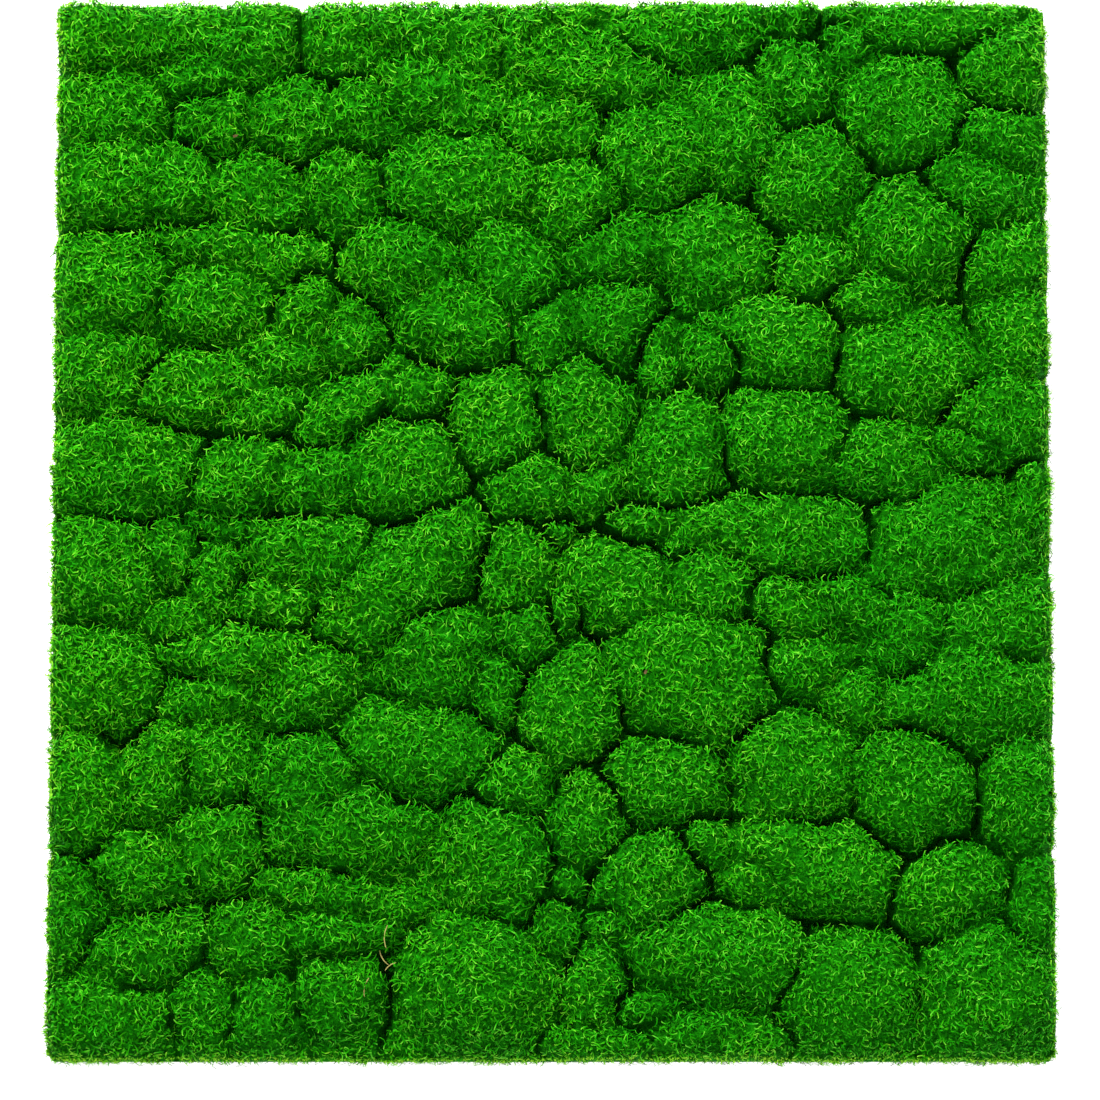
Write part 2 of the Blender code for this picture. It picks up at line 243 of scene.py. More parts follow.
# A mound is (x, y, half length, half width, turn), in millimetres from the middle of the mat and
# degrees. Each row is one cushion, and a list of its clumps, from the far left corner to the near
# right one.
CUSHIONS = [
    # far edge
    [[(-228, 249, 26, 17, 0), (-190, 250, 22, 16, 8)], [(-147, 246, 19, 20, 0)], [(-226, 212, 28, 18, 0),
     (-178, 228, 22, 10, 12)]],
    [[(-105, 247, 22, 19, 0), (-67, 250, 17, 16, 0)], [(-38, 247, 13, 20, 0)], [(-57, 219, 33, 15, -14)]],
    [[(-16, 243, 9, 20, 0), (14, 260, 24, 8, 0)], [(20, 232, 33, 19, -12)], [(70, 251, 38, 16, 0)]],
    [[(121, 257, 13, 10, 0), (148, 241, 13, 13, 0)], [(122, 226, 22, 23, 0)], [(178, 209, 32, 29, 0)]],
    [[(188, 254, 40, 13, 0)], [(228, 232, 24, 20, 30)]],
    # second band
    [[(-168, 206, 18, 15, 0), (-130, 207, 22, 19, -18)], [(-97, 208, 15, 18, 0)]],
    [[(1, 201, 25, 16, -5)]],
    [[(94, 200, 22, 30, 0)], [(50, 186, 28, 25, 0)]],
    [[(226, 198, 24, 15, 0), (212, 170, 26, 17, -20)], [(231, 135, 24, 18, 0), (234, 97, 18, 21, 0)]],
    # third band
    [[(-226, 172, 28, 20, 0), (-186, 170, 17, 18, 0)], [(-148, 169, 23, 18, 0), (-106, 171, 18, 20, 0)]],
    [[(-43, 174, 37, 22, 0)], [(12, 166, 22, 24, 0)]],
    [[(131, 177, 29, 27, 0)], [(130, 130, 19, 16, 20)]],
    [[(181, 151, 32, 26, -10)]],
    # fourth band
    [[(-226, 122, 30, 26, 0), (-226, 77, 28, 20, 0)], [(-172, 112, 21, 18, 0), (-160, 140, 36, 12, -5)]],
    [[(-122, 107, 12, 15, 0), (-100, 97, 13, 15, 0), (-133, 86, 16, 9, 0)]],
    [[(-74, 132, 24, 19, -20), (-48, 104, 28, 19, -20)]],
    [[(-20, 128, 30, 17, -61)]],
    [[(32, 141, 23, 16, 15), (82, 140, 32, 24, -25)]],
    [[(-3, 98, 15, 20, 0), (32, 101, 20, 21, 0)], [(15, 56, 23, 27, 0)]],
    [[(54, 86, 10, 17, 0), (82, 84, 16, 13, -20)], [(65, 34, 23, 28, 0)]],
    [[(115, 93, 30, 24, -8)]],
    [[(160, 114, 18, 12, 0), (178, 80, 37, 25, -15)]],
    # fifth band
    [[(-180, 68, 30, 16, 3), (-146, 55, 18, 12, 20)], [(-102, 58, 30, 12, 35), (-67, 65, 18, 13, 5)]],
    [[(-28, 50, 25, 25, 0)], [(-13, 18, 24, 18, 18), (20, 16, 13, 12, 0)]],
    [[(117, 43, 32, 25, 0)], [(168, 32, 26, 20, -5)]],
    [[(206, 38, 15, 9, -10), (224, 55, 27, 21, 0)]],
    [[(-212, 28, 44, 23, 0)]],
    [[(-157, 25, 28, 19, 10), (-118, 22, 22, 18, 0)], [(-72, 27, 28, 26, 0)]],
    # sixth band
    [[(-225, -22, 28, 24, 0), (-190, -14, 15, 15, 0)], [(-228, -78, 28, 26, 0), (-186, -49, 17, 10, 0)]],
    [[(-165, -1, 17, 7, -15), (-168, -30, 13, 19, 0)], [(-138, -40, 20, 12, 0), (-118, -14, 33, 20, 0)]],
    [[(-75, -25, 52, 24, 40)]],
    [[(-18, -20, 17, 25, 0)], [(-12, -55, 17, 15, 0)], [(-57, -67, 25, 24, 0), (-27, -84, 11, 19, 0)]],
    [[(33, -30, 28, 22, -15), (3, -3, 9, 8, 0)], [(79, -30, 21, 18, 0)]],
    [[(105, -4, 58, 17, -3), (48, 0, 18, 9, 0)]],
    [[(197, -8, 38, 28, 0), (241, 12, 12, 16, 0)]],
    # seventh band
    [[(-155, -65, 38, 14, 0)], [(-120, -80, 24, 17, 40)]],
    [[(10, -92, 23, 31, 0), (6, -43, 6, 14, 0)]],
    [[(70, -78, 42, 32, -20)]],
    [[(118, -43, 22, 13, -25), (150, -40, 20, 12, -20)], [(177, -55, 17, 20, -20)],
     [(124, -72, 20, 16, 0), (150, -88, 16, 14, 0)]],
    [[(225, -48, 28, 20, 15)], [(210, -88, 42, 26, 0)]],
    # eighth band
    [[(-170, -88, 22, 12, 0)], [(-165, -120, 17, 20, 0)], [(-196, -127, 24, 18, 70),
     (-234, -135, 19, 30, 0)]],
    [[(-122, -127, 26, 21, 15)], [(-105, -152, 38, 20, 0)]],
    [[(-205, -173, 24, 18, -15)], [(-165, -160, 22, 22, 0)], [(-238, -190, 14, 24, 0)]],
    [[(-65, -112, 40, 22, -5)], [(-18, -130, 19, 19, 0)]],
    [[(-28, -167, 26, 33, 0)]],
    [[(18, -147, 20, 25, 0), (8, -179, 9, 9, 0)]],
    [[(55, -128, 32, 23, -5)]],
    [[(120, -122, 32, 29, 0)]],
    [[(180, -130, 30, 28, 0)]],
    [[(232, -132, 20, 32, 0)], [(195, -182, 28, 20, 10)], [(240, -190, 12, 25, 0)]],
    # near edge
    [[(-200, -212, 28, 18, 20)], [(-222, -246, 34, 19, 0)], [(-172, -243, 16, 20, 0)]],
    [[(-152, -207, 20, 17, 0)], [(-141, -245, 17, 20, 0)], [(-106, -234, 21, 20, 0)],
     [(-108, -183, 40, 9, -12), (-105, -203, 28, 10, 0)]],
    [[(48, -180, 26, 27, 0)]],
    [[(80, -160, 16, 12, -35), (96, -178, 18, 11, -30)], [(132, -170, 42, 22, -15)]],
    [[(-35, -228, 38, 32, 0), (2, -204, 14, 16, 0)]],
    [[(20, -229, 14, 22, 0), (28, -199, 13, 8, 0)], [(25, -258, 25, 8, 0)]],
    [[(82, -214, 42, 24, -10), (48, -241, 14, 9, 0)], [(80, -254, 34, 12, 0)]],
    [[(147, -233, 34, 28, 0)]],
    [[(216, -232, 34, 31, 0)]],
]

box_low, box_high = np.array(cad_box[0]), np.array(cad_box[1])
mat_middle = (box_low + box_high)[:2] / 2
mat_half = (box_high - box_low)[:2] / 2
MAT_CORNER = 6 * MM

clumps = [clump for cushion in CUSHIONS for clump in cushion]
MOUNDS = np.array([mound for clump in clumps for mound in clump], float)
MOUND_CLUMP = np.array([number for number, clump in enumerate(clumps) for _ in clump])
MOUND_CUSHION = np.array([number for number, cushion in enumerate(CUSHIONS)
                          for clump in cushion for _ in clump])
MOUND_CENTRE = MOUNDS[:, :2] * MM + mat_middle
MOUND_HALF = MOUNDS[:, 2:4] * MM
MOUND_TURN = np.radians(MOUNDS[:, 4])
MOUND_WIDTH = MOUND_HALF.min(axis=1)

# A mound's crown is higher the wider the mound is, and its sides drop away from the crown. Clumps
# stand a little higher or lower than each other.
SMALL_CROWN = 35 * MM
CROWN_RISE = 0.30
DOME_DROP = 0.30
DOME_CURVE = 2.4
DOME_REACH = 1.3
MOUND_BLEND = 7.0
LEAST_MOSS = 4 * MM
CLUMP_LIFT = np.random.default_rng(30).uniform(-1.7, 1.7, len(clumps)) * MM

# A seam is a rounded shoulder on each side of a narrow slit. How deep it goes wanders along it: it is
# deeper between two cushions, and shallower where the moss is loose.
SEAM_ROUND = 7.5 * MM
SEAM_SHOULDER = 3.8 * MM
SHALLOW_SHOULDER = 0.3
SEAM_DEPTH = 12 * MM
SEAM_WIDTH = 0.27 * MM
SEAM_WIDEN = 0.315 * MM
SEAM_USUAL = 0.50
SEAM_RANGE = (0.04, 1.1)
SEAM_WANDER = ((26 * MM, 0.95, 7), (7 * MM, 0.4, 14))
DEEPER_BETWEEN = 0.2
SHALLOWER_LOOSE = 0.3

# A crease is the same, but softer, and the mat's own edge is a shoulder with small scallops in it.
CREASE_ROUND = 8.0 * MM
CREASE_SHOULDER = 2.6 * MM
CREASE_DEPTH = 1.8 * MM
CREASE_WIDTH = 0.90 * MM
CREASE_USUAL = 0.6
EDGE_ROUND = 8 * MM
EDGE_SHOULDER = 6.4 * MM
EDGE_SCALLOPS = ((3.2 * MM, 0.8 * MM, 15), (14 * MM, 0.7 * MM, 16))
STEEPEST_SHOULDER = 0.98

# The borders bend to and fro by (size, distance, seeds), and the tops are lumpy by (size, height
# where the moss is close, height to add where it is loose, seed).
BENDS = ((15 * MM, 2.2 * MM, (5, 6)), (4 * MM, 0.9 * MM, (18, 19)))
LUMPS = ((27 * MM, 2.0 * MM, 0.0, 20), (11 * MM, 0.9 * MM, 1.7 * MM, 8), (4.6 * MM, 0.4 * MM, 1.6 * MM, 9))

PLAN_STEP = 0.75 * MM
FAR = 1.0


def edge_distance(points):
    """How far each point is inside the mat's rounded rectangle: below 0 outside it."""
    over = np.abs(points - mat_middle) - (mat_half - MAT_CORNER)
    outside = np.hypot(np.maximum(over[:, 0], 0), np.maximum(over[:, 1], 0))
    return MAT_CORNER - outside - np.minimum(over.max(axis=1), 0)


def scallop(points):
    """How far the mat's edge bulges outward at each point, for its small scallops and longer waves."""
    return hills(points, EDGE_SCALLOPS)


LOOSE_USUAL = 0.5
LOOSE_ACROSS = -0.3
LOOSE_ALONG = 0.22
LOOSE_PATCHES = 0.35
LOOSE_SIZE = 48 * MM


def looseness(points):
    """0 where the moss is short and close, on the near right, to 1 where it is long and loose."""
    x, y = ((points[:, :2] - mat_middle) / mat_half).T
    patches = smooth_noise(points, LOOSE_SIZE, 17) * LOOSE_PATCHES
    return np.clip(LOOSE_USUAL + LOOSE_ACROSS * x + LOOSE_ALONG * y + patches, 0, 1)


def shoulder(reach, width):
    """A quarter round, from 0 at this reach from a border up to 1 on the border itself."""
    return 1 - np.sqrt(1 - STEEPEST_SHOULDER * np.clip(1 - reach / width, 0, 1) ** 2)


def moss_surface(points):
    """At each point: the height of the leaf tips, the cushion there, and how far off its seam is.

    Where a seam is shallow it counts as further off.
    """
    bend = sum(np.column_stack([smooth_noise(points, size, seed) for seed in seeds]) * distance
               for size, distance, seeds in BENDS)
    offset = (points + bend)[:, None, :] - MOUND_CENTRE
    along = offset[..., 0] * np.cos(MOUND_TURN) + offset[..., 1] * np.sin(MOUND_TURN)
    across = offset[..., 1] * np.cos(MOUND_TURN) - offset[..., 0] * np.sin(MOUND_TURN)
    distance = np.hypot(along / MOUND_HALF[:, 0], across / MOUND_HALF[:, 1])
    radius = np.maximum(np.hypot(along, across) / np.maximum(distance, 1e-6), MM)
    row = np.arange(len(points))
    own = distance.argmin(axis=1)
    nearest = distance[row, own]
    border = (distance - nearest[:, None]) / (1 / radius + 1 / radius[row, own][:, None])
    border[row, own] = FAR
    kin = MOUND_CLUMP == MOUND_CLUMP[own][:, None]
    same = MOUND_CUSHION == MOUND_CUSHION[own][:, None]
    to_seam = np.where(kin, FAR, border).min(axis=1)
    to_gap = np.where(same, FAR, border).min(axis=1)
    to_crease = np.where(kin, border, FAR).min(axis=1)
    weight = np.exp(-MOUND_BLEND * (distance - nearest[:, None]))
    width = (weight * MOUND_WIDTH).sum(axis=1) / weight.sum(axis=1)
    height = SMALL_CROWN + CROWN_RISE * width
    height -= DOME_DROP * width * np.minimum(nearest, DOME_REACH) ** DOME_CURVE
    height += CLUMP_LIFT[MOUND_CLUMP[own]]
    loose = looseness(points)
    wander = hills(points, SEAM_WANDER)
    between = to_gap <= to_seam * 1.001
    deep = np.clip(SEAM_USUAL + wander + DEEPER_BETWEEN * between - SHALLOWER_LOOSE * loose, *SEAM_RANGE)
    slit = np.exp(-(to_seam / (SEAM_WIDTH + SEAM_WIDEN * deep)) ** 2)
    crease = np.exp(-(to_crease / CREASE_WIDTH) ** 2)
    round_share = SHALLOW_SHOULDER + (1 - SHALLOW_SHOULDER) * deep
    height -= SEAM_SHOULDER * round_share * shoulder(to_seam, SEAM_ROUND)
    height -= SEAM_DEPTH * deep * slit
    height -= CREASE_SHOULDER * shoulder(to_crease, CREASE_ROUND)
    height -= CREASE_DEPTH * (CREASE_USUAL + wander) * crease
    for size, close, more, seed in LUMPS:
        height += smooth_noise(points, size, seed) * (close + more * loose)
    height -= EDGE_SHOULDER * shoulder(edge_distance(points), EDGE_ROUND)
    return np.maximum(height, felt_top + LEAST_MOSS), MOUND_CUSHION[own], to_seam / deep


plan_x = np.arange(mat_middle[0] - mat_half[0], mat_middle[0] + mat_half[0] + PLAN_STEP, PLAN_STEP)
plan_y = np.arange(mat_middle[1] - mat_half[1], mat_middle[1] + mat_half[1] + PLAN_STEP, PLAN_STEP)
plan_rows = [moss_surface(np.column_stack((plan_x, np.full_like(plan_x, y)))) for y in plan_y]
plan_height, plan_owner, plan_seam = (np.array(rows) for rows in zip(*plan_rows))
plan_slope = np.gradient(plan_height, PLAN_STEP)


def on_plan(plan, points):
    """Reads a plan between its places."""
    column = np.clip((points[:, 0] - plan_x[0]) / PLAN_STEP, 0, len(plan_x) - 1.001)
    row = np.clip((points[:, 1] - plan_y[0]) / PLAN_STEP, 0, len(plan_y) - 1.001)
    left, low = column.astype(int), row.astype(int)
    u, v = column - left, row - low
    below = plan[low, left] * (1 - u) + plan[low, left + 1] * u
    above = plan[low + 1, left] * (1 - u) + plan[low + 1, left + 1] * u
    return below * (1 - v) + above * v


def cushion_at(points):
    column = np.clip(np.rint((points[:, 0] - plan_x[0]) / PLAN_STEP).astype(int), 0, len(plan_x) - 1)
    row = np.clip(np.rint((points[:, 1] - plan_y[0]) / PLAN_STEP).astype(int), 0, len(plan_y) - 1)
    return plan_owner[row, column]


CORE_CELL = 2.5 * MM
CORE_DEPTH = 1.3 * MM
CORE_INSET = 0.4 * MM
CORE_FOOT = 0.1 * MM
CORE_SOFTENING = 2
GREEN_GLINT = (0.40, 1.0, 0.12)

stem_green = mottled_material(
    "packed_stems", [(0.32, (0.0010, 0.032, 0.0004)), (0.50, (0.0045, 0.130, 0.0013)),
                     (0.68, (0.0140, 0.270, 0.0030))], 0.9, (150.0, 1000.0), 1.1 * MM, 0.04, GREEN_GLINT)

# The stems stop short of the leaf tips, under the lowest ground near them, so that no seam is filled.
plan_core = plan_height.copy()
for rows, columns in [(1, 0), (-1, 0), (0, 1), (0, -1)] * CORE_SOFTENING:
    plan_core = np.minimum(plan_core, np.roll(plan_core, (rows, columns), axis=(0, 1)))
core_half = mat_half - CORE_INSET
core_cells = np.ceil(2 * core_half / CORE_CELL).astype(int)
core_x = np.linspace(mat_middle[0] - core_half[0], mat_middle[0] + core_half[0], core_cells[0] + 1)
core_y = np.linspace(mat_middle[1] - core_half[1], mat_middle[1] + core_half[1], core_cells[1] + 1)
core_places = np.array([(x, y) for y in core_y for x in core_x])
core_height = on_plan(plan_core, core_places) - CORE_DEPTH
core_middles = np.array([(x + CORE_CELL / 2, y + CORE_CELL / 2)
                         for y in core_y[:-1] for x in core_x[:-1]])
core_owner = cushion_at(core_middles).reshape(core_cells[1], core_cells[0])
core_owner[(edge_distance(core_middles) < CORE_INSET).reshape(core_owner.shape)] = -1


def core_mesh(number):
    """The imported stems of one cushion: its cells of the ground, raised, and closed by walls and a foot."""
    rows, columns = np.nonzero(core_owner == number)
    across = core_cells[0] + 1
    shape = bmesh.new()
    verts = {}
    for row, column in zip(rows.tolist(), columns.tolist()):
        first = row * across + column
        corners = (first, first + 1, first + across + 1, first + across)
        for corner in corners:
            if corner not in verts:
                place = core_places[corner]
                verts[corner] = shape.verts.new((place[0], place[1], core_height[corner]))
        shape.faces.new([verts[corner] for corner in corners])
    borders = [edge for edge in shape.edges if edge.is_boundary]
    made = bmesh.ops.extrude_edge_only(shape, edges=borders)
    lowered = [item for item in made["geom"] if isinstance(item, bmesh.types.BMVert)]
    for vert in lowered:
        vert.co.z = felt_top + CORE_FOOT
    hem = [item for item in made["geom"] if isinstance(item, bmesh.types.BMEdge) and item.is_boundary]
    bmesh.ops.holes_fill(shape, edges=hem, sides=0)
    bmesh.ops.recalc_face_normals(shape, faces=shape.faces)
    mesh = bpy.data.meshes.new(f"cushion_{number + 1:02d}_stems")
    shape.to_mesh(mesh)
    shape.free()
    mesh.shade_smooth()
    return mesh


for number in range(len(CUSHIONS)):
    name = f"cushion_{number + 1:02d}"
    link_piece(f"{name}_stems", core_mesh(number), [stem_green], [name])

# ---------------------------------------------------------------------------------------------
# The leaves: thin curly threads that rise out of the imported stems and lie over and curl along the
# surface, above an understorey of short broad leaves. Each is dark at its foot and yellow-green at its
# tip. Brighter ones hang down the sides of the mat, and they are brightest at its rim: painted light,
# as if lit through from behind.
# ---------------------------------------------------------------------------------------------

# How early a leaf lies down, how rounded it looks, and how early its colour leaves the dark foot.
LIE_DOWN = 0.7
FACE_ROUND = 1.5
TIP_SHARE = 0.6

THREAD_COUNT = 43000
SCALE_COUNT = 62000
SIDE_THREAD_COUNT = 7000
SIDE_SCALE_COUNT = 20000

# A leaf's outline: how far along it each station is, and how wide it is there.
THREAD_SHAPE = ((0.0, 0.8), (0.3, 1.0), (0.6, 1.0), (0.88, 0.9), (1.0, 0.0))
SCALE_SHAPE = ((0.0, 0.8), (0.5, 1.0), (1.0, 0.0))

LEAF_COOL = [(0.0, (0.0008, 0.022, 0.0003)), (0.30, (0.0030, 0.125, 0.0009)),
             (0.62, (0.0090, 0.310, 0.0025)), (1.0, (0.1500, 0.680, 0.0480))]
LEAF_WARM = [(0.0, (0.0014, 0.024, 0.0002)), (0.30, (0.0100, 0.145, 0.0006)),
             (0.62, (0.0420, 0.370, 0.0018)), (1.0, (0.3400, 0.760, 0.0320))]


def leaf_material():
    """Green blades from the palette that each leaf's map gives: its own tone across, root to tip up."""
    material, tree, shader = new_material("moss_leaf", 0.6, 0.07, GREEN_GLINT)
    palette = tree.nodes.new("ShaderNodeUVMap")
    palette.uv_map = "OFBake"
    parts = tree.nodes.new("ShaderNodeSeparateXYZ")
    tree.links.new(palette.outputs["UV"], parts.inputs["Vector"])
    streak_place = tree.nodes.new("ShaderNodeMapping")
    streak_place.inputs["Scale"].default_value = (260.0, 5.0, 1.0)
    streaks = tree.nodes.new("ShaderNodeTexNoise")
    streaks.inputs["Scale"].default_value = 1.0
    streaks.inputs["Detail"].default_value = 2.0
    tree.links.new(palette.outputs["UV"], streak_place.inputs["Vector"])
    tree.links.new(streak_place.outputs["Vector"], streaks.inputs["Vector"])
    tone = tree.nodes.new("ShaderNodeMix")
    tone.data_type = "RGBA"
    tree.links.new(parts.outputs["X"], tone.inputs["Factor"])
    for stops, side in ((LEAF_COOL, "A"), (LEAF_WARM, "B")):
        ramp = add_ramp(tree, stops)
        tree.links.new(parts.outputs["Y"], ramp.inputs["Fac"])
        tree.links.new(ramp.outputs["Color"], tone.inputs[side])
    shade = tree.nodes.new("ShaderNodeMapRange")
    shade.inputs["From Min"].default_value = 0.3
    shade.inputs["From Max"].default_value = 0.7
    shade.inputs["To Min"].default_value = 0.75
    shade.inputs["To Max"].default_value = 1.18
    tree.links.new(streaks.outputs["Fac"], shade.inputs["Value"])
    streaked = tree.nodes.new("ShaderNodeMix")
    streaked.data_type = "RGBA"
    streaked.blend_type = "MULTIPLY"
    streaked.inputs["Factor"].default_value = 1.0
    tree.links.new(tone.outputs["Result"], streaked.inputs["A"])
    tree.links.new(shade.outputs["Result"], streaked.inputs["B"])
    tree.links.new(streaked.outputs["Result"], shader.inputs["Base Color"])
    return material


leaf_green = leaf_material()


def unit(vectors):
    return vectors / np.maximum(np.linalg.norm(vectors, axis=-1, keepdims=True), 1e-9)


def blades(outline, roots, outward, shown, heading, rise, lie, curl, length, width, roll):
    """The points of each leaf, and how they face, by station: left edge, right edge, and the tip.

    A leaf leaves its root at the angle rise above the surface, lies down to the angle lie, and turns
    by curl along the surface on the way. It faces partly the way called shown, as if rounded, and
    its front is the side nearer to that.
    """
    side = unit(np.cross(outward, heading))
    heading = np.cross(side, outward)
    middle = (rise + lie) / 2
    front = outward * np.cos(middle)[:, None] - heading * np.sin(middle)[:, None]
    front = np.where((front * shown).sum(axis=1) < 0, -1.0, 1.0)[:, None]
    spot = roots
    points, facing = [], []
    for share, broad in outline:
        ahead_by = min([after for after, _ in outline if after > share], default=share) - share
        lift = rise + (lie - rise) * share ** LIE_DOWN
        turn = curl * share
        level = heading * np.cos(turn)[:, None] + side * np.sin(turn)[:, None]
        ahead = level * np.cos(lift)[:, None] + outward * np.sin(lift)[:, None]
        flat = unit(np.cross(ahead, outward) + 1e-6)
        tipped = front * (flat * np.cos(roll)[:, None] + np.cross(ahead, flat) * np.sin(roll)[:, None])
        half = tipped * (width * broad / 2)[:, None]
        points += [spot - half, spot + half] if broad else [spot]
        rounded = unit(np.cross(tipped, ahead) + shown * FACE_ROUND)
        facing += [rounded, rounded] if broad else [rounded]
        spot = spot + ahead * (length * ahead_by)[:, None]
    return np.stack(points, axis=1), np.stack(facing, axis=1)


def leaf_mesh(name, kinds):
    """One mesh of many leaves. A kind is the points, facing, tones and brightness of one leaf shape."""
    spots, normals, corners, sizes, palette = [], [], [], [], []
    base = 0
    for points, facing, tones, bright in kinds:
        count, size = points.shape[:2]
        faces = [(k, k + 1, k + 3, k + 2) for k in range(0, size - 3, 2)] + [(size - 3, size - 2, size - 1)]
        loops = np.concatenate(faces)
        up = ((np.arange(size) // 2) / (size // 2)) ** TIP_SHARE
        mapped = np.empty((count, len(loops), 2), np.float32)
        mapped[..., 0] = tones[:, None]
        mapped[..., 1] = np.minimum(up[loops] * bright[:, None], 1.0)
        spots.append(points.reshape(-1, 3))
        normals.append(facing.reshape(-1, 3))
        corners.append((base + np.arange(count)[:, None] * size + loops).ravel())
        sizes.append(np.tile([len(face) for face in faces], count))
        palette.append(mapped.reshape(-1, 2))
        base += count * size
    parts = (spots, normals, corners, sizes, palette)
    spots, normals, corners, sizes, palette = (np.concatenate(part) for part in parts)
    mesh = bpy.data.meshes.new(name)
    mesh.vertices.add(len(spots))
    mesh.vertices.foreach_set("co", spots.astype(np.float32).ravel())
    mesh.loops.add(len(corners))
    mesh.loops.foreach_set("vertex_index", corners.astype(np.int32))
    mesh.polygons.add(len(sizes))
    mesh.polygons.foreach_set("loop_start", (np.cumsum(sizes) - sizes).astype(np.int32))
    mesh.update(calc_edges=True)
    mesh.uv_layers.new(name="OFBake").data.foreach_set("uv", palette.astype(np.float32).ravel())
    mesh.shade_smooth()
    mesh.validate()
    mesh.normals_split_custom_set_from_vertices(normals.astype(np.float32))
    return mesh


# Places are drawn over the whole mat and then thinned: at its rim, in the seams and where it is level.
SPARE_DRAWS = 2.1
STEEPEST = 2.0
RIM_BARE = 1.0 * MM
SEAM_BARE = 1.1 * MM
SEAM_FEW = 0.2
UPWARD = 0.9


def top_places(count):
    """Places over the tops: closer where the surface is steep, and hardly any inside a seam."""
    places = rng.uniform(mat_middle - mat_half, mat_middle + mat_half, (int(count * SPARE_DRAWS), 2))
    slope_y, slope_x = on_plan(plan_slope[0], places), on_plan(plan_slope[1], places)
    steep = np.sqrt(1 + slope_x ** 2 + slope_y ** 2)
    keep = rng.uniform(0, 1, len(places)) < np.minimum(steep, STEEPEST) / STEEPEST
    keep &= edge_distance(places) + scallop(places) > RIM_BARE
    keep &= (on_plan(plan_seam, places) > SEAM_BARE) | (rng.uniform(0, 1, len(places)) < SEAM_FEW)
    places, slope_x, slope_y = places[keep][:count], slope_x[keep][:count], slope_y[keep][:count]
    outward = unit(np.column_stack((-slope_x, -slope_y, np.full(len(places), UPWARD))))
    surface = np.column_stack((places, on_plan(plan_height, places)))
    return surface, outward


SIDE_FOOT = 1.0 * MM
SIDE_OUT = 0.2 * MM
RIM_READ = 2 * MM
MORE_HIGH_UP = 0.7


def side_places(count):
    """Places down the sides of the mat, from its rim to its foot, and more of them high up."""
    straight = 2 * (mat_half - MAT_CORNER)
    lengths = np.array((straight[0], straight[1], straight[0], straight[1]))
    arc = MAT_CORNER * pi / 2
    travel = rng.uniform(0, lengths.sum() + 4 * arc, count)
    surface = np.zeros((count, 3))
    outward = np.zeros((count, 3))
    start = 0.0
    for side in range(4):
        facing = side * pi / 2 - pi / 2
        out = np.array((cos(facing), sin(facing)))
        run = np.array((-out[1], out[0]))
        inside = (travel >= start) & (travel < start + lengths[side])
        away = mat_half @ np.abs(out)
        spot = travel[inside] - start - lengths[side] / 2
        surface[inside, :2] = mat_middle + out * away + spot[:, None] * run
        outward[inside, :2] = out
        start += lengths[side]
        inside = (travel >= start) & (travel < start + arc)
        turn = facing + (travel[inside] - start) / MAT_CORNER
        ray = np.column_stack((np.cos(turn), np.sin(turn)))
        hub = mat_middle + (out + run) * (mat_half - MAT_CORNER)
        surface[inside, :2] = hub + ray * MAT_CORNER
        outward[inside, :2] = ray
        start += arc
    rim = on_plan(plan_height, surface[:, :2] - outward[:, :2] * RIM_READ)
    surface[:, 2] = SIDE_FOOT + (rim - SIDE_FOOT) * rng.uniform(0, 1, count) ** MORE_HIGH_UP
    surface += outward * (scallop(surface) + SIDE_OUT)[:, None]
    return surface, outward


# How leaves vary. A pair is the least and the most of an even spread, or the middle and the spread of
# a natural one. Angles are in degrees, but the two spreads of heading are in radians.
LENGTHS = (0.65, 1.25)
WIDTHS = (0.75, 1.2)
RISES = (30, 60)
LIES = (-4, 10)
CURLS = (40, 210)
ROLLS = (0, 20)
COMB_SIZE = 9 * MM
COMB_SHIFT = 7 * MM
COMB_SPREAD = 0.85
HANG_SPREAD = 0.7
CLOSE_LENGTH = 0.86
LOOSE_LONGER = 0.3
CROWDED = 3 * MM
CROWDED_LEAST = 0.55
ROOT_BACK = 0.35
SUNK = 1.1 * MM
SUNK_CURVE = 1.4
GROUND = 0.2 * MM

# Near the rim the leaves stand off and face up, and their lime tone and brightness there are painted light,
# as if lit through from behind, most of all at the top of the sides.
RIM_FADE = 2.3 * MM
RIM_LEAN = np.array((0.0, 0.0, 2.0))
RIM_STAND = 16
RIM_PAINTED_LIME = 0.9
RIM_PAINTED_LIGHT = 0.9
RIM_LIGHT_AT_FOOT = 0.3

# A leaf's tone runs from cool at 0 to warm at 1, by patches and across the mat, and its brightness
# says how far up the palette its tip reaches.
PATCHES = ((60 * MM, 0.16, 12), (20 * MM, 0.12, 13))
TONE_USUAL = 0.36
TONE_ACROSS = -0.14
TONE_ALONG = 0.07
TONE_SPREAD = 0.18
# Leaves rooted deeper are painted darker: painted shade for lying lower in the moss.
SUNK_PAINTED_SHADE = 0.55
BRIGHT_SPREAD = 0.08
BRIGHT_PATCHES = 0.35
BRIGHT_RANGE = (0.4, 1.0)


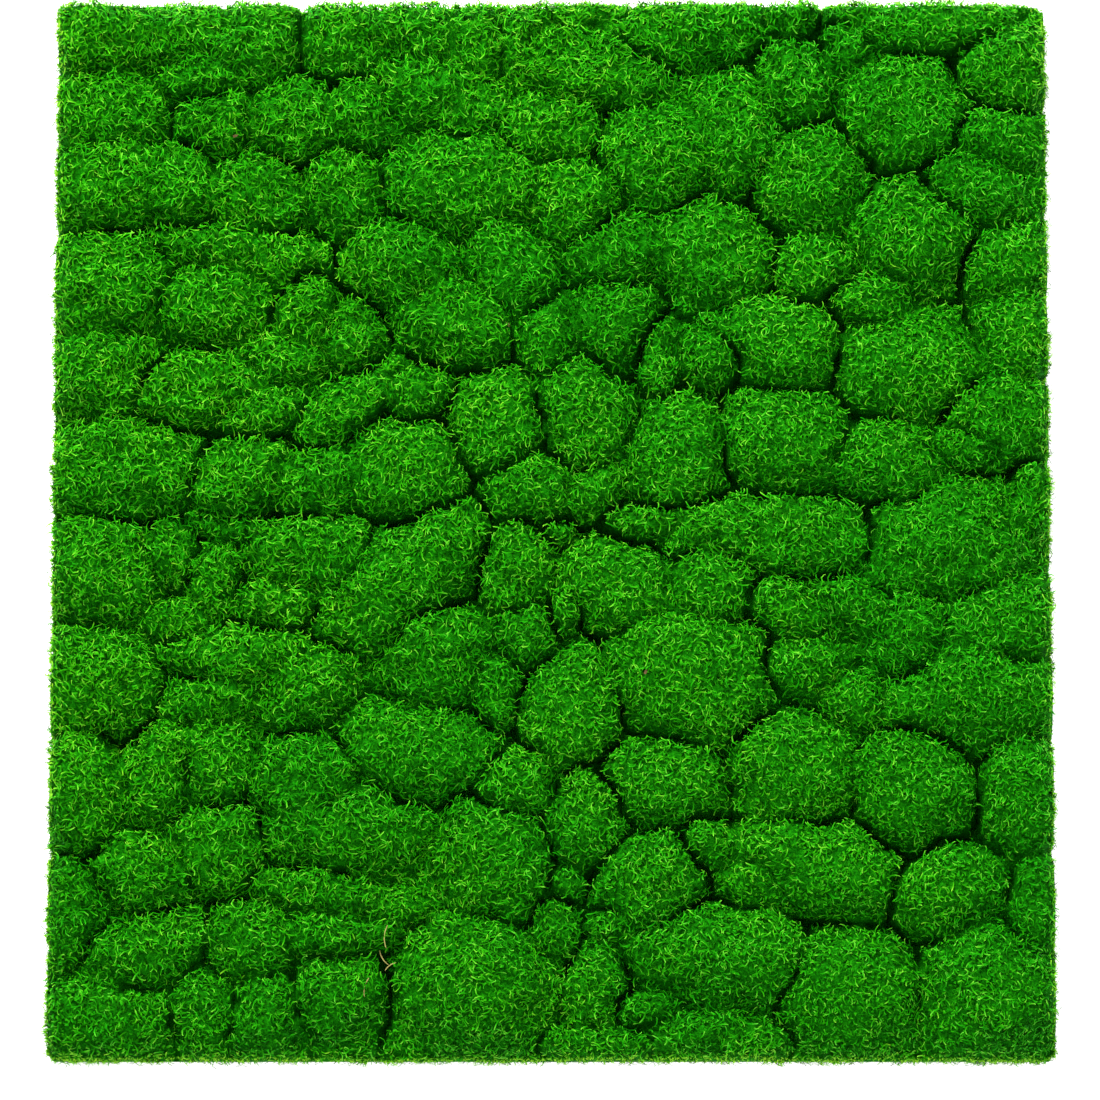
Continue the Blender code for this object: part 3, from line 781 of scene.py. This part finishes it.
def grow(outline, places, size, deep, flat, fringe):
    """Turns places on the surface into leaves of one kind, with their tones and brightness.

    The roots are deep under the surface, and the leaves rise by flat times as much as RISES says.
    Where fringe is above 0 they hang down a side, and rise by that share more.
    """
    surface, outward = places
    count = len(surface)
    loose = looseness(surface)
    close = np.clip(on_plan(plan_seam, surface) / CROWDED, CROWDED_LEAST, 1)
    rim = np.exp(-np.maximum(edge_distance(surface[:, :2]), 0) / RIM_FADE)
    combed = smooth_noise(surface + outward[:, 2:] * COMB_SHIFT, COMB_SIZE, 11) * 2 * pi
    around = combed + rng.normal(0, COMB_SPREAD, count) + pi * rng.integers(0, 2, count)
    if fringe:
        around = rng.normal(-pi / 2, HANG_SPREAD, count)
    helper = np.where(np.abs(outward[:, 2:]) < 0.9, (0.0, 0.0, 1.0), (1.0, 0.0, 0.0))
    first = unit(np.cross(helper, outward))
    second = np.cross(outward, first)
    heading = first * np.cos(around)[:, None] + second * np.sin(around)[:, None]
    sunk = rng.uniform(0, 1, count) ** SUNK_CURVE
    length = size[0] * rng.uniform(*LENGTHS, count) * (CLOSE_LENGTH + LOOSE_LONGER * loose) * close
    width = size[1] * rng.uniform(*WIDTHS, count)
    rise = np.radians(rng.uniform(*RISES, count) * flat * (1 + fringe))
    lie = np.radians(rng.normal(*LIES, count) + RIM_STAND * rim)
    curl = np.radians(rng.uniform(*CURLS, count)) * rng.choice((-1, 1), count)
    roll = np.radians(rng.normal(*ROLLS, count))
    roots = surface - outward * (deep + sunk * SUNK)[:, None] - heading * (length * ROOT_BACK)[:, None]
    shown = unit(outward + rim[:, None] * RIM_LEAN)
    points, facing = blades(outline, roots, outward, shown, heading, rise, lie, curl, length, width, roll)
    points[..., 2] = np.maximum(points[..., 2], GROUND)
    patches = hills(surface, PATCHES)
    across, along = ((surface[:, :2] - mat_middle) / mat_half).T
    tones = TONE_USUAL + TONE_ACROSS * across + TONE_ALONG * along + patches
    # Near the rim the tone is pushed to lime: painted light, as if lit through from behind.
    tones += rng.normal(0, TONE_SPREAD, count) + RIM_PAINTED_LIME * rim
    high = np.clip(surface[:, 2] / SMALL_CROWN, RIM_LIGHT_AT_FOOT, 1)
    # Deeper-rooted leaves are painted darker, as painted shade.
    bright = 1.0 - SUNK_PAINTED_SHADE * sunk + rng.normal(0, BRIGHT_SPREAD, count) + BRIGHT_PATCHES * patches
    # Painted light brightens the rim, most at the top of the sides and least at their foot.
    bright = np.clip(bright, *BRIGHT_RANGE) + RIM_PAINTED_LIGHT * rim * high
    return points, facing, np.clip(tones, 0.01, 0.99), bright


THREAD = (7.2 * MM, 0.60 * MM)
SCALE = (3.9 * MM, 1.35 * MM)
THREAD_DEEP = 0.65 * MM
SCALE_DEEP = 1.2 * MM
THREAD_FLAT = 0.7
SCALE_FLAT = 1.0
SCALE_BRIGHT = 0.78
FRINGE = 0.3

kinds = []
for outline, size, deep, flat, lit, top_count, side_count in (
        (THREAD_SHAPE, THREAD, THREAD_DEEP, THREAD_FLAT, 1.0, THREAD_COUNT, SIDE_THREAD_COUNT),
        (SCALE_SHAPE, SCALE, SCALE_DEEP, SCALE_FLAT, SCALE_BRIGHT, SCALE_COUNT, SIDE_SCALE_COUNT)):
    for places, fringe in ((top_places(top_count), 0.0), (side_places(side_count), FRINGE)):
        size = np.array(size) * (1 - fringe)
        rooted = deep * (1 + 2 * fringe)
        points, facing, tones, bright = grow(outline, places, size, rooted, flat, fringe)
        owners = cushion_at(places[0])
        # Understorey leaves down the sides are not dimmed like those on top: painted light at the rim.
        kinds.append((owners, points, facing, tones, bright * (1.0 if fringe else lit)))

for number in range(len(CUSHIONS)):
    name = f"cushion_{number + 1:02d}_leaves"
    mine = [[values[owner == number] for values in kind] for owner, *kind in kinds]
    link_piece(name, leaf_mesh(name, mine), [leaf_green], [])

# ---------------------------------------------------------------------------------------------
# The rhizoid fibres: loose brown threads that stand out of the cut edge of the rhizoid mat.
# ---------------------------------------------------------------------------------------------

FIBRE_COUNT = 1500
FIBRE = (5.0 * MM, 0.32 * MM)
FIBRE_INSET = 4.5 * MM
FIBRE_DEEP = 0.5 * MM
FIBRE_FLAT = 0.8
FIBRE_LOWEST = 0.8 * MM

fibre_spots, fibre_outward = side_places(FIBRE_COUNT)
fibre_spots -= fibre_outward * FIBRE_INSET
fibre_spots[:, 2] = rng.uniform(FIBRE_LOWEST, felt_top, FIBRE_COUNT)
fibres = grow(THREAD_SHAPE, (fibre_spots, fibre_outward), FIBRE, FIBRE_DEEP, FIBRE_FLAT, 0.0)
link_piece("rhizoid_fibres", leaf_mesh("rhizoid_fibres", [fibres]), [fibre_brown], [])

# ---------------------------------------------------------------------------------------------
# The litter: a few dry straw-coloured strands that lie in the moss near its front left, and small
# brown flakes of dead leaf caught between the cushions.
# ---------------------------------------------------------------------------------------------

# Each is (x, y, length, heading), in millimetres from the middle of the mat and degrees.
STRANDS = np.array([(-81, -200, 12, 250), (-85, -212, 9, 285),
                    (-90, -226, 10, 240), (-77, -218, 7, 200)], float)
FLAKES = np.array([(-160, 196, 3, 20), (-21, 100, 3, 130), (46, -76, 3, 60)], float)
# Each is (width, height over the moss, bend in degrees).
STRAND = (0.5 * MM, 0.8 * MM, 50)
FLAKE = (1.4 * MM, 0.2 * MM, 10)
STRIP_RISE = 0.15
STRIP_LIE = -0.1
STRIP_ROLL = 0.2

dry_straw = mottled_material("dry_straw", [(0.3, (0.20, 0.17, 0.035)), (0.7, (0.46, 0.42, 0.13))],
                             0.7, (90.0, 700.0), 0.1 * MM)


def lay(items, outline, width, height, bend):
    """Lays strips almost flat at this height over the moss, bent to one side by so many degrees."""
    count = len(items)
    spots = np.column_stack((items[:, :2] * MM + mat_middle, np.zeros(count)))
    spots[:, 2] = on_plan(plan_height, spots) + height
    up = np.tile((0.0, 0.0, 1.0), (count, 1))
    turn = np.radians(items[:, 3])
    heading = np.column_stack((np.cos(turn), np.sin(turn), np.zeros(count)))
    level = np.zeros(count)
    points, facing = blades(outline, spots, up, up, heading, level + STRIP_RISE, level + STRIP_LIE,
                            level + radians(bend), items[:, 2] * MM, level + width, level + STRIP_ROLL)
    return points, facing, level + 0.5, level + 1.0


strands = lay(STRANDS, THREAD_SHAPE, *STRAND)
flakes = lay(FLAKES, SCALE_SHAPE, *FLAKE)
link_piece("dry_strands", leaf_mesh("dry_strands", [strands]), [dry_straw], [])
link_piece("leaf_flakes", leaf_mesh("leaf_flakes", [flakes]), [fibre_brown], [])

# ---------------------------------------------------------------------------------------------
# The studio: a plain pale floor that glows a little, one broad soft light beyond the far edge of the
# mat, an even pale sky, and a camera high above that looks almost straight down.
# ---------------------------------------------------------------------------------------------

FLOOR_GLOW = 0.75
FLOOR_GAP = 0.2 * MM
SKY_STRENGTH = 0.95
AIM_HEIGHT = 0.03
AIM_SHIFT = (-0.8 * MM, -12.6 * MM)

floor_mesh = bpy.data.meshes.new("floor")
floor_shape = bmesh.new()
bmesh.ops.create_grid(floor_shape, x_segments=1, y_segments=1, size=4.0)
floor_shape.to_mesh(floor_mesh)
floor_shape.free()
floor = bpy.data.objects.new("floor", floor_mesh)
floor.location.z = -FLOOR_GAP
bpy.context.scene.collection.objects.link(floor)
floor_white = mottled_material("floor_paint", [(0.3, (0.90, 0.90, 0.90)), (0.7, (0.93, 0.93, 0.93))],
                               0.9, (2.0, 40.0), 0.01 * MM)
floor_mesh.materials.append(floor_white)
floor_shader = floor_white.node_tree.nodes["Principled BSDF"]
floor_shader.inputs["Emission Color"].default_value = (1.0, 1.0, 1.0, 1.0)
floor_shader.inputs["Emission Strength"].default_value = FLOOR_GLOW

world = bpy.data.worlds.new("studio")
bpy.context.scene.world = world
world.use_nodes = True
world.node_tree.nodes["Background"].inputs["Color"].default_value = (1.0, 1.0, 1.0, 1.0)
world.node_tree.nodes["Background"].inputs["Strength"].default_value = SKY_STRENGTH


def soft_light(name, place, size, power):
    lamp = bpy.data.lights.new(name, "AREA")
    lamp.size = size
    lamp.energy = power
    holder = bpy.data.objects.new(name, lamp)
    holder.location = place
    aim = Vector((*mat_middle, AIM_HEIGHT)) - holder.location
    holder.rotation_euler = aim.to_track_quat("-Z", "Y").to_euler()
    bpy.context.scene.collection.objects.link(holder)


soft_light("key_light", (-0.45, 1.75, 1.6), 0.8, 91.0)

CAMERA_LENS = 180
CAMERA_AWAY = 2.742
CAMERA_TILT = radians(7.5)
lens = bpy.data.cameras.new("camera")
lens.lens = CAMERA_LENS
lens.sensor_width = 36
camera = bpy.data.objects.new("camera", lens)
aim_at = Vector((mat_middle[0] + AIM_SHIFT[0], mat_middle[1] + AIM_SHIFT[1], AIM_HEIGHT))
camera.location = aim_at + Vector((0, -sin(CAMERA_TILT), cos(CAMERA_TILT))) * CAMERA_AWAY
camera.rotation_euler = (CAMERA_TILT, 0, 0)
bpy.context.scene.collection.objects.link(camera)
bpy.context.scene.camera = camera
bpy.context.scene.view_settings.view_transform = "Standard"
